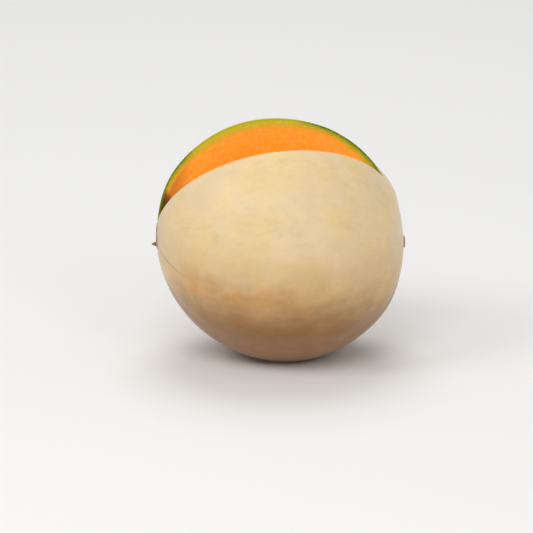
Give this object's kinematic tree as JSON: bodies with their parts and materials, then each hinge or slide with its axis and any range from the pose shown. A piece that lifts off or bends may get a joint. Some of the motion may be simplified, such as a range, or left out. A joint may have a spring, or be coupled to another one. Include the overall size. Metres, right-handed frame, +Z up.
{
  "type": "cantaloupe melon",
  "caption": "Smooth cream-skinned cantaloupe melon lying on its side, with one slice cut out of its top down to the seed hollow.",
  "frame": {"origin": "bottom centre of the whole object, at the level of the flat spot that it rests on", "axes": "+X along the melon's own axis from the stem end to the blossom end, +Z up out of the cut-out slice"},
  "size_m": [0.1556, 0.1476, 0.1401],
  "materials": {
    "melon": "satin",
    "dry_stem": "matte"
  },
  "bodies": {
    "root": {"melon_body": "melon", "stem_stub": "dry_stem"}
  },
  "joints": []
}
